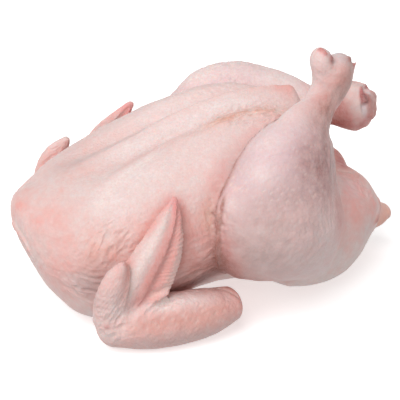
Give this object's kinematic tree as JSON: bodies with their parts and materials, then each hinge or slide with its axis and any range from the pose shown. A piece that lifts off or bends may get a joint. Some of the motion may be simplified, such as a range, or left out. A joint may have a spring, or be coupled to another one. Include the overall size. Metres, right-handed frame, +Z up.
{
  "type": "whole raw chicken",
  "caption": "Whole plucked raw chicken lying on its back, breast up, with folded wings, one drumstick raised and one crossed over the tail.",
  "frame": {"origin": "middle of the bounding box in plan, on the surface that the back lies on", "axes": "+X from the neck end to the tail, +Z up towards the breast, -Y the side of the raised drumstick"},
  "size_m": [0.24, 0.1732, 0.1547],
  "materials": {
    "raw_skin": "moist, slightly translucent raw poultry skin: pale pink over white fat, bluish pink on the legs, redder at the wing tips, with fine follicle bumps and wrinkles"
  },
  "bodies": {
    "root": {"chicken": "raw_skin"}
  },
  "joints": []
}
